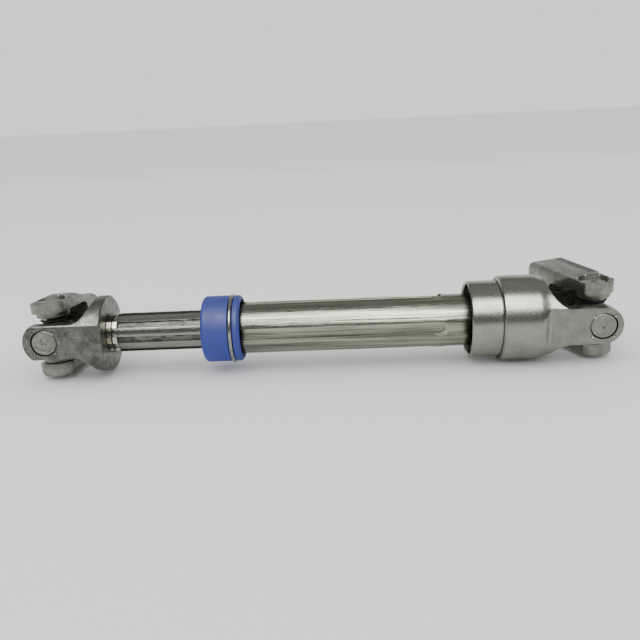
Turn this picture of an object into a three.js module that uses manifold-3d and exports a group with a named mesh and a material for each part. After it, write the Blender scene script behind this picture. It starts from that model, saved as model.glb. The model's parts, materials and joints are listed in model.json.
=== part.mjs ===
// Telescopic steering shaft with a universal joint at each end.
// Millimetres. +X runs along the shaft to the upper end, +Z is up.
import * as THREE from 'three';
import { mergeVertices } from 'three/addons/utils/BufferGeometryUtils.js';
import Module from 'manifold-3d';

const wasm = await Module();
wasm.setup();

// ---- Driving dimensions ----------------------------------------------------
const clearance = 0.3;        // gap left between two pieces that fit together
const jointSpan = 320;        // centre of the lower joint to centre of the upper joint
const roundness = 40;         // flats around the large round pieces
const innerRoundness = 24;    // around the pieces inside
const boreRoundness = 20;     // around bearings and their bores
const curveSteps = 4;         // straight pieces in each curve of an outline

// Outer tube, with four ball tracks pressed into it.
const tubeRadius = 15.4;
const tubeWall = 1.6;
const tubeMouth = 224;        // tube mouth, inside the dust cap, to the upper joint centre
const tubeEnd = 42;           // welded end to the upper joint centre
const trackEnd = 88.5;        // round end of the tracks to the upper joint centre
const trackCount = 4;
const trackWidth = 7.2;
const trackDepth = 1.0;
const trackSlope = 0.6;       // each side of a track leans out by this much

// Slide sleeve between tube and shaft.
const sleeveWall = 1.6;
const sleeveInset = 2;        // from the tube mouth
const sleeveLength = 30;

// Inner shaft, with eight grooves along it. It slides in the sleeve.
const shaftRadius = tubeRadius - tubeWall - sleeveWall - 2 * clearance;
const shaftLength = 168;      // from the flange of the lower fork to the inner end
const grooveCount = 8;
const grooveWidth = 4.0;
const grooveDepth = 1.5;
const neckRadius = shaftRadius - 2;   // plain neck that carries the stop rings and the fork
const groovePhase = 7.5;      // the grooves turned about the shaft, in degrees

// Bump-stop rings at the fork, and the retaining ring at the inner end.
const stopRingWidth = 2.6;
const stopRingSpacing = 0.9;
const stopPadHeight = 0.35;
const retainerWidth = 2.2;
const retainerInset = 4;

// Dust cap over the tube mouth, with a wiper, a sealing boot and a clamp ring.
const capWall = 2.3;
const capBore = tubeRadius + 2;
const capRadius = capBore + capWall;
const capLength = 22.6;
const capOverhang = 5.2;      // end wall of the cap to the tube mouth
const capChamfer = 1.4;
const capLandStart = 2;       // land that grips the tube, from the tube mouth
const capLandLength = 4;
const clampWire = 2.2;
const clampInset = 5.5;       // centre of the wire to the open end of the cap
const bootLength = 6;
const bootInset = 0.6;        // from the open end of the cap

// Isolation coupling, from the tube outwards: rubber bush, sleeve, cup.
const bushThickness = 4.7;
const couplingSleeveWall = 1.9;
const couplingSleeveBore = tubeRadius + bushThickness + 2 * clearance;
const couplingSleeveRadius = couplingSleeveBore + couplingSleeveWall;
const cupWall = 2.2;
const cupBore = couplingSleeveRadius + clearance;
const cupRadius = cupBore + cupWall;
const cupRim = tubeEnd + 14.5;         // rim of the cup to the upper joint centre
const couplingSleeveRim = cupRim + 17.4;
const couplingSleeveEnd = tubeEnd;
const lipRadius = 2.4;
const bushInset = 3.4;        // rubber face behind the sleeve's rim
const bushEnd = tubeEnd + 8;
const stopPlateThickness = 4;
const cupFloor = tubeEnd - stopPlateThickness - 5;   // inner face of the cup's floor, clear of the plate
const stopPlateRadius = tubeRadius - 2.4;
const stopLugReach = couplingSleeveRadius - 4.6;
const stopLugWidth = 12;
const windUp = 5;             // degrees either way before the stop plate meets its ring

// Cross and bearings.
const bearingRadius = 7.5;
const bearingWall = 1.0;
const bearingFloor = 1.5;
const bearingLength = 9.8;
const trunnionRadius = bearingRadius - 2.6;
const crossBodyRadius = trunnionRadius + 4.3;
const sealThickness = 1.5;
const sealRadius = bearingRadius + 0.5;
const rollerCount = 12;

// Fork ears, the same spacing at both ends.
const earFace = cupRadius - 4.4;   // outer face of an ear to the shaft's axis
const upperEar = {
  inner: earFace - 7.1, height: 2 * bearingRadius + 6.6, radius: bearingRadius + 3.5, straight: 18,
  shoulder: cupFloor - 2, throat: cupFloor - 5.5, flareHeight: 13.8, flareStart: 3, flareEnd: 3.5,
};
const lowerEar = {
  inner: earFace - 7.5, height: 2 * bearingRadius + 5.2, radius: bearingRadius + 4.9, straight: 18,
  shoulder: 27.6, throat: 22, flareHeight: 11.2, flareStart: -0.8, flareEnd: 4,
};
const flangeRadius = earFace + 2;
const flangeFace = 33.6;       // face of the lower fork's flange to the lower joint centre
const creaseStart = cupFloor + 3;    // where the cup starts to narrow and flatten into the ears
const creaseEnd = cupFloor - 3.5;
const neckedRadius = earFace + 2.9;   // radius the cup narrows to

// End yokes. Lengths run from the pin centre along the yoke; left and right are
// seen from the pin looking along it. The top of the hub may slope down from the arm.
const upperYoke = {
  face: earFace + 1.2, boss: bearingRadius + 3.7, arm: bearingRadius + 2.1, hubLeft: 12, hubRight: 13.8,
  armEnd: 9, hubStart: 14, length: 49.5, armThickness: 6.9, padDepth: 3, padRadius: bearingRadius + 2,
  floor: earFace + 6.3, fillet: 3.5, hubTop: earFace + 1.2, slopeStart: 18, slopeEnd: 22,
  bevelWidth: 3.6, bevelDepth: 1.3,
};
const lowerYoke = {
  face: earFace + 1.9, boss: bearingRadius + 4.6, arm: bearingRadius + 2.7, hubLeft: 11.5, hubRight: 11.5,
  armEnd: 8, hubStart: 13, length: 45, armThickness: 7.4, padDepth: 3, padRadius: bearingRadius + 2.1,
  floor: earFace + 4.8, fillet: 6, hubTop: earFace - 4.2, slopeStart: earFace - 4.7, slopeEnd: earFace + 4.3,
  bevelWidth: 3, bevelDepth: 3,
};
const shaftBore = 8.6;        // radius of the splined bore in each end yoke
const slitWidth = 3;
const boltRadius = 4.2;
const boltSeatRadius = 7.5;
const boltSeatDepth = 2.2;
const boltFromEnd = 11;
const stakeRadius = bearingRadius + 1.1;   // lead-in around each bearing, where the hole is staked
const stakeDepth = 1.4;

// How the joints stand at rest, in degrees.
const upperPhase = 3.5;       // upper fork turned about the shaft
const lowerPhase = -2.9;
const upperTilt = 2.25;       // cross tilted about the ear pins
const lowerTilt = 3;
const upperFold = 107;        // yoke turned about the yoke pins, from +X
const lowerFold = 88;

// ---- Solids ----------------------------------------------------------------
const degrees = THREE.MathUtils.degToRad;
const upperX = jointSpan / 2;
const lowerX = -jointSpan / 2;

function toSolid(geometry) {
  geometry.deleteAttribute('normal');
  geometry.deleteAttribute('uv');
  const merged = mergeVertices(geometry, 1e-4);
  return new wasm.Manifold(new wasm.Mesh({
    numProp: 3,
    vertProperties: new Float32Array(merged.attributes.position.array),
    triVerts: new Uint32Array(merged.index.array),
  }));
}

function toGeometry(solid) {
  const mesh = solid.getMesh();
  const geometry = new THREE.BufferGeometry();
  const positions = new Float32Array(mesh.vertProperties);
  geometry.setAttribute('position', new THREE.BufferAttribute(positions, 3));
  geometry.setIndex(new THREE.BufferAttribute(new Uint32Array(mesh.triVerts), 1));
  geometry.computeVertexNormals();
  return geometry;
}

// Turns a profile of [x, radius] points, listed anticlockwise, about the X axis.
function revolve(profile, segments = roundness) {
  const points = profile.map(([x, radius]) => new THREE.Vector2(radius, x));
  const geometry = new THREE.LatheGeometry(points, segments);
  geometry.rotateZ(-Math.PI / 2);
  return toSolid(geometry);
}

// A ring or tube along X: inner and outer radius, first and last x.
function ring(inner, outer, start, end, segments = roundness) {
  return revolve([[start, inner], [start, outer], [end, outer], [end, inner], [start, inner]], segments);
}

function rod(radius, start, end, segments = roundness) {
  return revolve([[start, 0], [start, radius], [end, radius], [end, 0]], segments);
}

const extrudeAlong = {
  x: new THREE.Matrix4().makeBasis(
    new THREE.Vector3(0, 1, 0), new THREE.Vector3(0, 0, 1), new THREE.Vector3(1, 0, 0)),
  y: new THREE.Matrix4().makeBasis(
    new THREE.Vector3(1, 0, 0), new THREE.Vector3(0, 0, 1), new THREE.Vector3(0, -1, 0)),
  z: new THREE.Matrix4(),
};

// Extrudes a shape between two distances along an axis. The shape is drawn in
// (y, z) for x, in (x, z) for y, and in (x, y) for z.
function extrude(shape, axis, start, end, curveSegments = curveSteps) {
  const depth = end - start;
  const geometry = new THREE.ExtrudeGeometry(shape, { depth, bevelEnabled: false, curveSegments });
  geometry.translate(0, 0, axis === 'y' ? -end : start);
  geometry.applyMatrix4(extrudeAlong[axis]);
  return toSolid(geometry);
}

function box(x0, x1, y0, y1, z0, z1) {
  const geometry = new THREE.BoxGeometry(x1 - x0, y1 - y0, z1 - z0);
  geometry.translate((x0 + x1) / 2, (y0 + y1) / 2, (z0 + z1) / 2);
  return toSolid(geometry);
}

// A shape from the half above its middle line and the half below it. Both halves are
// drawn above the line and run the same way.
function joinedShape(upperHalf, lowerHalf) {
  const upper = upperHalf.getPoints(curveSteps);
  const lower = lowerHalf.getPoints(curveSteps).filter((point) => point.y > 1e-6).reverse();
  return new THREE.Shape([...upper, ...lower.map((point) => new THREE.Vector2(point.x, -point.y))]);
}

function mirroredShape(upperHalf) {
  return joinedShape(upperHalf, upperHalf);
}

function roundedRectangle(x0, x1, y0, y1, radius) {
  const shape = new THREE.Shape();
  shape.absarc(x1 - radius, y1 - radius, radius, 0, Math.PI / 2);
  shape.absarc(x0 + radius, y1 - radius, radius, Math.PI / 2, Math.PI);
  shape.absarc(x0 + radius, y0 + radius, radius, Math.PI, Math.PI * 1.5);
  shape.absarc(x1 - radius, y0 + radius, radius, Math.PI * 1.5, Math.PI * 2);
  return shape;
}

function turned(solid, axis, angle) {
  const turns = { x: [angle, 0, 0], y: [0, angle, 0], z: [0, 0, angle] };
  return solid.rotate(turns[axis]);
}

// Copies of a solid at equal angles about X.
function aroundX(solid, count) {
  let all = solid;
  for (let i = 1; i < count; i += 1) {
    all = all.add(turned(solid, 'x', (360 * i) / count));
  }
  return all;
}

// ---- Materials and placing ---------------------------------------------------
const finishes = {
  platedSteel: { color: 0x8e8f88, roughness: 0.35, metalness: 1 },
  forgedSteel: { color: 0x82857f, roughness: 0.5, metalness: 1 },
  groundSteel: { color: 0xb9bab2, roughness: 0.25, metalness: 1 },
  springSteel: { color: 0x9d9d98, roughness: 0.3, metalness: 1 },
  yellowZinc: { color: 0xc9c49a, roughness: 0.35, metalness: 1 },
  bluePlastic: { color: 0x4b5faa, roughness: 0.55, metalness: 0 },
  blackRubber: { color: 0x16161a, roughness: 0.85, metalness: 0 },
  nylon: { color: 0xd9d6c6, roughness: 0.6, metalness: 0 },
};

function place(group, name, solid, finish) {
  const mesh = new THREE.Mesh(toGeometry(solid), new THREE.MeshStandardMaterial(finishes[finish]));
  mesh.name = name;
  group.add(mesh);
}

// ---- Outer tube --------------------------------------------------------------
const tubeStart = upperX - tubeMouth;
const tubeStop = upperX - tubeEnd;
const tubeBore = tubeRadius - tubeWall;
const ribRadius = tubeBore - trackDepth;
const ribWidth = trackWidth - 2 * trackSlope;

// Cuts the tracks: long slots with a round end, whose sides lean out. The floor
// of each slot has the given radius and width.
function trackCutter(floorRadius, floorWidth, end) {
  const half = floorWidth / 2;
  const start = tubeStart - 5;
  const slot = new THREE.Shape();
  slot.moveTo(start, -half);
  slot.absarc(end - half, 0, half, -Math.PI / 2, Math.PI / 2);
  slot.lineTo(start, half);
  const geometry = new THREE.ExtrudeGeometry(slot, {
    depth: trackDepth + 3,
    bevelThickness: trackDepth,
    bevelSize: trackSlope,
    bevelSegments: 1,
    curveSegments: curveSteps,
  });
  geometry.translate(0, 0, floorRadius + trackDepth);
  return aroundX(toSolid(geometry), trackCount);
}

function makeTube() {
  const trackStop = upperX - trackEnd;
  const outside = rod(tubeRadius, tubeStart, tubeStop);
  const inside = rod(tubeBore, tubeStart - 1, tubeStop + 1);
  const tracks = trackCutter(tubeRadius - trackDepth, ribWidth, trackStop);
  const ribs = trackCutter(ribRadius, ribWidth - 2 * trackSlope, trackStop - trackSlope);
  return outside.subtract(tracks).subtract(inside.subtract(ribs));
}

// ---- Inner shaft and its rings -------------------------------------------------
const flangeX = lowerX + flangeFace;
const neckEnd = flangeX + 2 * stopRingWidth + stopRingSpacing + 2 * clearance;
const shaftEnd = flangeX + shaftLength;
const retainerX = shaftEnd - retainerInset - retainerWidth;

// Copies of a solid in every groove of the shaft.
function inGrooves(solid) {
  return turned(aroundX(solid, grooveCount), 'x', groovePhase);
}

function makeInnerShaft() {
  const stub = flangeX - (flangeFace - lowerEar.throat);
  const shaft = revolve([
    [stub, 0], [stub, neckRadius - 1], [stub + 1, neckRadius], [neckEnd, neckRadius],
    [neckEnd, shaftRadius], [retainerX, shaftRadius], [retainerX, neckRadius],
    [retainerX + retainerWidth, neckRadius], [retainerX + retainerWidth, shaftRadius],
    [shaftEnd - 1.5, shaftRadius], [shaftEnd, shaftRadius - 1.5], [shaftEnd, 0],
  ]);
  const half = grooveWidth / 2;
  const groove = box(neckEnd - 1, shaftEnd + 1, -half, half, shaftRadius - grooveDepth, shaftRadius + 2);
  return shaft.subtract(inGrooves(groove));
}

function makeStopRing(start) {
  const end = start + stopRingWidth;
  const half = grooveWidth / 2;
  const hoop = ring(neckRadius + clearance, shaftRadius - clearance, start, end, innerRoundness);
  const pad = box(start, end, -half, half, neckRadius + 2 * clearance, shaftRadius + stopPadHeight);
  return hoop.add(inGrooves(pad));
}

function makeRetainer() {
  const outer = ribRadius - clearance;
  const start = retainerX + clearance;
  const end = retainerX + retainerWidth - clearance;
  const hoop = ring(neckRadius + clearance, outer, start, end, innerRoundness);
  const snapGap = box(start - 1, end + 1, -2.5, 2.5, 0, outer + 1);
  return hoop.subtract(turned(snapGap, 'x', 45));
}

function makeSlideSleeve() {
  const start = tubeStart + sleeveInset;
  const end = start + sleeveLength;
  const outer = tubeBore - clearance;
  const inner = shaftRadius + clearance;
  const hoop = ring(inner, outer, start, end, innerRoundness);
  const channelHalf = ribWidth / 2 + clearance;
  const channel = box(start - 1, end + 1, -channelHalf, channelHalf, ribRadius - clearance, outer + 1);
  const keyHalf = grooveWidth / 2 - clearance;
  const key = box(start, end, -keyHalf, keyHalf, inner - grooveDepth, inner + clearance);
  return hoop.subtract(aroundX(channel, trackCount)).add(inGrooves(key));
}

// ---- Dust cap ------------------------------------------------------------------
const capStart = tubeStart - capOverhang;
const capEnd = capStart + capLength;
const clampX = capEnd - clampInset;
const clampRadius = capRadius + 0.85 - clampWire / 2;
const shaftHole = shaftRadius + clearance;

function makeDustCap() {
  const grooveFloor = clampRadius - clampWire / 2 - clearance;
  const grooveHalf = clampWire / 2 + clearance;
  const landStart = tubeStart + capLandStart;
  const landEnd = landStart + capLandLength;
  const landRadius = tubeRadius + clearance;
  return revolve([
    [capStart, shaftHole], [capStart, capRadius - capChamfer], [capStart + capChamfer, capRadius],
    [clampX - grooveHalf, capRadius], [clampX - grooveHalf, grooveFloor],
    [clampX + grooveHalf, grooveFloor], [clampX + grooveHalf, capRadius],
    [capEnd - capChamfer, capRadius], [capEnd, capRadius - capChamfer], [capEnd, capBore],
    [landEnd, capBore], [landEnd, landRadius], [landStart, landRadius], [landStart, capBore],
    [capStart + capWall, capBore], [capStart + capWall, shaftHole], [capStart, shaftHole],
  ], innerRoundness);
}

// The wiper sits between the cap's end wall and the tube mouth.
function makeWiper() {
  const start = capStart + capWall + clearance;
  return ring(shaftRadius + clearance, capBore - clearance, start, tubeStart - clearance, innerRoundness);
}

// The boot fills the gap between tube and cap, just inside the cap's open end.
function makeBoot() {
  const inner = tubeRadius + clearance;
  const end = capEnd - bootInset;
  return ring(inner, capBore - clearance, end - bootLength, end, innerRoundness);
}

function makeClampRing() {
  const wire = new THREE.TorusGeometry(clampRadius, clampWire / 2, 6, innerRoundness);
  wire.rotateY(Math.PI / 2);
  wire.translate(clampX, 0, 0);
  return toSolid(wire);
}

// ---- Isolation coupling -------------------------------------------------------
function makeCouplingSleeve() {
  const rim = upperX - couplingSleeveRim;
  const end = upperX - couplingSleeveEnd;
  return revolve([
    [rim, couplingSleeveBore + 0.6], [rim + 0.4, couplingSleeveRadius - 0.7],
    [rim + 1.3, couplingSleeveRadius], [end, couplingSleeveRadius], [end, couplingSleeveBore],
    [rim + 0.8, couplingSleeveBore], [rim, couplingSleeveBore + 0.6],
  ]);
}

function makeBush() {
  const start = upperX - couplingSleeveRim + bushInset;
  const inner = tubeRadius + clearance;
  const outer = couplingSleeveBore - clearance;
  return revolve([
    [start, inner], [start, inner + 1], [start + 2, (inner + outer) / 2], [start, outer - 1],
    [start, outer], [upperX - bushEnd, outer], [upperX - bushEnd, inner], [start, inner],
  ], innerRoundness);
}

// A disc with two lugs, drawn across the shaft, its lugs reaching a distance from the
// axis, and grown by a margin.
function stopOutline(reach, margin) {
  const disc = rod(stopPlateRadius + margin, 0, stopPlateThickness, innerRoundness);
  const halfWidth = stopLugWidth / 2 + margin;
  const halfSpan = reach + margin;
  return disc.add(box(0, stopPlateThickness, -halfWidth, halfWidth, -halfSpan, halfSpan));
}

function makeStopPlate() {
  return stopOutline(stopLugReach, 0).translate([upperX - tubeEnd + clearance, 0, 0]);
}

// The ring's opening is the plate's outline swept through the wind-up angle, as deep
// all the way as the lugs' corners reach.
function makeStopRingHousing() {
  const start = upperX - couplingSleeveEnd + clearance;
  const housing = rod(couplingSleeveRadius, 0, stopPlateThickness, innerRoundness);
  const cornerReach = Math.hypot(stopLugReach, stopLugWidth / 2);
  const cutter = stopOutline(cornerReach, clearance).scale([3, 1, 1]).translate([-stopPlateThickness, 0, 0]);
  return housing
    .subtract(cutter)
    .subtract(turned(cutter, 'x', windUp))
    .subtract(turned(cutter, 'x', -windUp))
    .translate([start, 0, 0]);
}

// ---- Forks ---------------------------------------------------------------------
// Drawn with the joint centre at the origin and the ears pointing to +X. From the
// front an ear flares from the shoulder down to its own height, and has a round end.
function earOutline(ear, shoulderHeight, start) {
  const half = ear.height / 2;
  const tip = Math.sqrt(ear.radius ** 2 - half ** 2);
  const outline = new THREE.Path();
  outline.moveTo(start, 0);
  outline.lineTo(start, shoulderHeight);
  outline.lineTo(-ear.shoulder, shoulderHeight);
  outline.bezierCurveTo(
    -ear.shoulder + ear.flareStart, ear.flareHeight, -ear.straight - ear.flareEnd, half,
    -ear.straight, half);
  outline.lineTo(tip, half);
  outline.absarc(0, 0, ear.radius, Math.asin(half / ear.radius), 0, true);
  return mirroredShape(outline);
}

function earBores() {
  return turned(rod(bearingRadius + clearance, -earFace - 1, earFace + 1, boreRoundness), 'z', 90);
}

// The gap between the ears, with rounded inner corners.
function earGap(ear) {
  const corner = 5;
  const outline = new THREE.Path();
  outline.moveTo(-ear.throat, 0);
  outline.lineTo(-ear.throat, ear.inner - corner);
  outline.absarc(-ear.throat + corner, ear.inner - corner, corner, Math.PI, Math.PI / 2, true);
  outline.lineTo(ear.radius + 5, ear.inner);
  outline.lineTo(ear.radius + 5, 0);
  return extrude(mirroredShape(outline), 'z', -cupRadius - 1, cupRadius + 1);
}

function makeUpperFork() {
  const front = extrude(earOutline(upperEar, cupRadius, -cupFloor - 6), 'y', -cupRadius, cupRadius);
  const flattening = new THREE.Path();
  flattening.moveTo(-cupFloor - 5, 0);
  flattening.lineTo(-cupFloor - 5, cupRadius + 1);
  flattening.lineTo(-creaseStart, cupRadius + 1);
  flattening.lineTo(-creaseStart, cupRadius);
  flattening.bezierCurveTo(
    -creaseStart + 2.4, cupRadius, -creaseEnd - 1.6, earFace + 0.6, -creaseEnd, earFace);
  flattening.lineTo(upperEar.radius + 1, earFace);
  flattening.lineTo(upperEar.radius + 1, 0);
  const plan = extrude(mirroredShape(flattening), 'z', -cupRadius - 1, cupRadius + 1);
  const neck = revolve([
    [-cupFloor - 5, 0], [-cupFloor - 5, cupRadius], [-creaseStart, cupRadius],
    [-creaseStart + 2.5, cupRadius - 0.35], [-creaseEnd - 1.5, neckedRadius + 0.3],
    [-creaseEnd, neckedRadius], [upperEar.radius + 1, neckedRadius], [upperEar.radius + 1, 0],
  ]);
  const ears = neck.intersect(front).intersect(plan);
  const cup = revolve([
    [-cupRim, cupBore + 0.2], [-cupRim, cupRadius - lipRadius], [-cupRim + 0.35, cupRadius - 1.1],
    [-cupRim + 1.1, cupRadius - 0.35], [-cupRim + lipRadius, cupRadius],
    [-cupFloor - 4, cupRadius], [-cupFloor - 4, cupBore], [-cupRim + 0.2, cupBore],
    [-cupRim, cupBore + 0.2],
  ]);
  const hollow = rod(cupBore, -cupRim - 1, -cupFloor);
  return ears.subtract(hollow).add(cup).subtract(earGap(upperEar)).subtract(earBores());
}

function makeLowerFork() {
  const front = extrude(earOutline(lowerEar, flangeRadius, -flangeFace), 'y', -earFace, earFace);
  const body = rod(flangeRadius, -flangeFace, lowerEar.radius + 1).intersect(front);
  const shaftBoreInFork = rod(neckRadius + clearance, -flangeFace - 1, -lowerEar.throat + 1);
  return body.subtract(earGap(lowerEar)).subtract(earBores()).subtract(shaftBoreInFork);
}

// ---- Cross and bearings -----------------------------------------------------------
const bearingFace = earFace - clearance;
const bearingMouth = bearingFace - bearingLength;
const trunnionEnd = bearingFace - bearingFloor - clearance;

function makeCross() {
  const body = toSolid(new THREE.SphereGeometry(crossBodyRadius, 16, 8));
  const trunnion = revolve([
    [-trunnionEnd, 0], [-trunnionEnd, trunnionRadius - 0.6], [-trunnionEnd + 0.6, trunnionRadius],
    [trunnionEnd - 0.6, trunnionRadius], [trunnionEnd, trunnionRadius - 0.6], [trunnionEnd, 0],
  ], boreRoundness);
  return body.add(turned(trunnion, 'z', 90)).add(turned(trunnion, 'y', 90));
}

function makeBearing() {
  const inner = bearingRadius - bearingWall;
  return revolve([
    [bearingMouth, inner], [bearingMouth, bearingRadius], [bearingFace - 0.6, bearingRadius],
    [bearingFace, bearingRadius - 0.6], [bearingFace, 1.6], [bearingFace - 0.4, 0.8],
    [bearingFace - 0.4, 0], [bearingFace - bearingFloor, 0], [bearingFace - bearingFloor, inner],
    [bearingMouth, inner],
  ], boreRoundness);
}

function makeSeal() {
  const start = bearingMouth - clearance - sealThickness;
  const inner = trunnionRadius + clearance;
  return revolve([
    [start, inner], [start, sealRadius - 0.8], [start + sealThickness, sealRadius],
    [start + sealThickness, inner], [start, inner],
  ], boreRoundness);
}

// The needle rollers stand side by side round the trunnion, so they are one ring.
function makeRollerRing() {
  const inner = trunnionRadius + clearance;
  const outer = bearingRadius - bearingWall - clearance;
  const outline = new THREE.Shape();
  const steps = rollerCount * 2;
  for (let i = 0; i < steps; i += 1) {
    const angle = (2 * Math.PI * i) / steps;
    const radius = outer - (i % 2 === 0 ? 0.35 : 0);
    const point = [radius * Math.cos(angle), radius * Math.sin(angle)];
    if (i === 0) outline.moveTo(...point);
    else outline.lineTo(...point);
  }
  const hole = new THREE.Path();
  hole.absarc(0, 0, inner, 0, 2 * Math.PI, true);
  outline.holes.push(hole);
  return extrude(outline, 'x', bearingMouth + clearance, trunnionEnd - clearance, 6);
}

// ---- End yokes -------------------------------------------------------------------
// Drawn with the pin centre at the origin, the pins along Z and the hub towards +X.
function yokePlan(yoke) {
  const edge = (hub) => {
    const outline = new THREE.Path();
    outline.absarc(0, 0, yoke.boss, Math.PI, Math.PI - Math.asin(yoke.arm / yoke.boss), true);
    outline.lineTo(yoke.armEnd, yoke.arm);
    outline.lineTo(yoke.hubStart, hub);
    outline.lineTo(yoke.length, hub);
    outline.lineTo(yoke.length, 0);
    return outline;
  };
  const plan = joinedShape(edge(yoke.hubLeft), edge(yoke.hubRight));
  return extrude(plan, 'z', -yoke.face, yoke.face);
}

function yokeSide(yoke) {
  const front = -yoke.boss - 1;
  const top = new THREE.Path();
  top.moveTo(front, 0);
  top.lineTo(front, yoke.face);
  top.lineTo(yoke.slopeStart, yoke.face);
  top.bezierCurveTo(
    yoke.slopeStart + 4, yoke.face, yoke.slopeEnd - 4, yoke.hubTop, yoke.slopeEnd, yoke.hubTop);
  top.lineTo(yoke.length, yoke.hubTop);
  top.lineTo(yoke.length, 0);
  const underside = new THREE.Path();
  underside.moveTo(front, 0);
  underside.lineTo(front, yoke.face);
  underside.lineTo(yoke.length, yoke.face);
  underside.lineTo(yoke.length, 0);
  return extrude(joinedShape(top, underside), 'y', -yoke.hubRight, yoke.hubLeft);
}

function yokeGap(yoke) {
  const corner = 6;
  const height = yoke.face - yoke.armThickness;
  const outline = new THREE.Path();
  outline.moveTo(-yoke.boss - 2, 0);
  outline.lineTo(-yoke.boss - 2, height);
  outline.lineTo(yoke.floor - corner, height);
  outline.absarc(yoke.floor - corner, height - corner, corner, Math.PI / 2, 0, true);
  outline.lineTo(yoke.floor, 0);
  return extrude(mirroredShape(outline), 'y', -yoke.hubRight - 1, yoke.hubLeft + 1);
}

// The hub's cross-section, with its top edge on the right planed off.
function hubSection(yoke, top, start, end) {
  const section = roundedRectangle(-yoke.hubRight, yoke.hubLeft, -yoke.face, top, yoke.fillet);
  const plane = new THREE.Shape();
  plane.moveTo(-yoke.hubRight - 1, top + 1);
  plane.lineTo(-yoke.hubRight - 1, top - yoke.bevelDepth);
  plane.lineTo(-yoke.hubRight, top - yoke.bevelDepth);
  plane.lineTo(-yoke.hubRight + yoke.bevelWidth, top);
  plane.lineTo(-yoke.hubRight + yoke.bevelWidth, top + 1);
  return extrude(section, 'x', start, end).subtract(extrude(plane, 'x', start - 1, end + 1));
}

// A rod across the yoke at the pinch bolt, between two distances from its middle.
function boltRod(yoke, radius, start, end) {
  const height = -(shaftBore + boltRadius + 0.8);
  const along = yoke.length - boltFromEnd;
  return turned(rod(radius, start, end, boreRoundness), 'z', 90).translate([along, 0, height]);
}

function makeYoke(yoke) {
  const armBlock = box(-yoke.boss - 1, yoke.hubStart, -yoke.boss, yoke.boss, -yoke.face, yoke.face);
  const taperEnd = Math.max(yoke.slopeEnd, yoke.hubStart);
  const envelope = armBlock
    .add(hubSection(yoke, yoke.face, yoke.hubStart - 1, taperEnd))
    .add(hubSection(yoke, yoke.hubTop, taperEnd - 1, yoke.length));
  const arms = yokePlan(yoke).intersect(yokeSide(yoke)).intersect(envelope).subtract(yokeGap(yoke));

  const armFace = yoke.face - yoke.armThickness;
  const padStart = armFace - yoke.padDepth;
  const pad = turned(ring(bearingRadius, yoke.padRadius, padStart, armFace + 1, boreRoundness), 'y', -90);
  const bore = turned(
    rod(bearingRadius + clearance, -yoke.face - 1, yoke.face + 1, boreRoundness), 'y', -90);
  const stake = turned(rod(stakeRadius, yoke.face - stakeDepth, yoke.face + 1, boreRoundness), 'y', -90);
  const boreStart = yoke.floor - 7;
  const splineBore = rod(shaftBore, boreStart, yoke.length + 1, boreRoundness);
  const slit = box(
    boreStart, yoke.length + 1, -slitWidth / 2, slitWidth / 2, -yoke.face - 1, -shaftBore + 1);
  const bolt = boltRod(yoke, boltRadius, -yoke.hubRight - 1, yoke.hubLeft + 1);
  const seat = boltRod(yoke, boltSeatRadius, yoke.hubLeft - boltSeatDepth, yoke.hubLeft + 1);
  return arms
    .add(pad).add(pad.mirror([0, 0, 1]))
    .subtract(bore).subtract(stake).subtract(stake.mirror([0, 0, 1]))
    .subtract(splineBore).subtract(slit).subtract(bolt).subtract(seat);
}

// ---- Assembly --------------------------------------------------------------------
const shaftLine = new THREE.Group();

place(shaftLine, 'outer_tube', makeTube(), 'platedSteel');
place(shaftLine, 'inner_shaft', makeInnerShaft(), 'platedSteel');
place(shaftLine, 'slide_sleeve', makeSlideSleeve(), 'nylon');
place(shaftLine, 'retaining_ring', makeRetainer(), 'springSteel');
place(shaftLine, 'stop_ring_outer', makeStopRing(flangeX + clearance), 'yellowZinc');
place(shaftLine, 'stop_ring_inner',
  makeStopRing(flangeX + clearance + stopRingWidth + stopRingSpacing), 'yellowZinc');
place(shaftLine, 'dust_cap', makeDustCap(), 'bluePlastic');
place(shaftLine, 'cap_clamp_ring', makeClampRing(), 'springSteel');
place(shaftLine, 'cap_boot', makeBoot(), 'blackRubber');
place(shaftLine, 'shaft_wiper', makeWiper(), 'blackRubber');
place(shaftLine, 'coupling_sleeve', makeCouplingSleeve(), 'platedSteel');
place(shaftLine, 'coupling_bush', makeBush(), 'blackRubber');
place(shaftLine, 'wind_up_plate', makeStopPlate(), 'forgedSteel');
place(shaftLine, 'wind_up_housing', makeStopRingHousing(), 'forgedSteel');

// A bearing with its seal and rollers, on the arm of the cross at this turn from +X.
function placeBearing(group, name, axis, angle) {
  place(group, `${name}_bearing_cup`, turned(makeBearing(), axis, angle), 'groundSteel');
  place(group, `${name}_seal`, turned(makeSeal(), axis, angle), 'blackRubber');
  place(group, `${name}_rollers`, turned(makeRollerRing(), axis, angle), 'groundSteel');
}

function placeJoint(end, x, phase, tilt, fold, fork, yokeSolid) {
  const joint = new THREE.Group();
  joint.position.x = x;
  joint.rotation.x = degrees(phase);
  place(joint, `${end}_fork`, fork, end === 'upper' ? 'platedSteel' : 'forgedSteel');
  placeBearing(joint, `${end}_front`, 'z', -90);
  placeBearing(joint, `${end}_back`, 'z', 90);

  const cross = new THREE.Group();
  cross.rotation.y = -degrees(tilt);
  place(cross, `${end}_cross`, makeCross(), 'forgedSteel');

  const yoke = new THREE.Group();
  yoke.rotation.z = degrees(fold);
  place(yoke, `${end}_yoke`, yokeSolid, 'forgedSteel');
  placeBearing(yoke, `${end}_top`, 'y', -90);
  placeBearing(yoke, `${end}_bottom`, 'y', 90);

  cross.add(yoke);
  joint.add(cross);
  shaftLine.add(joint);
}

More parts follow.
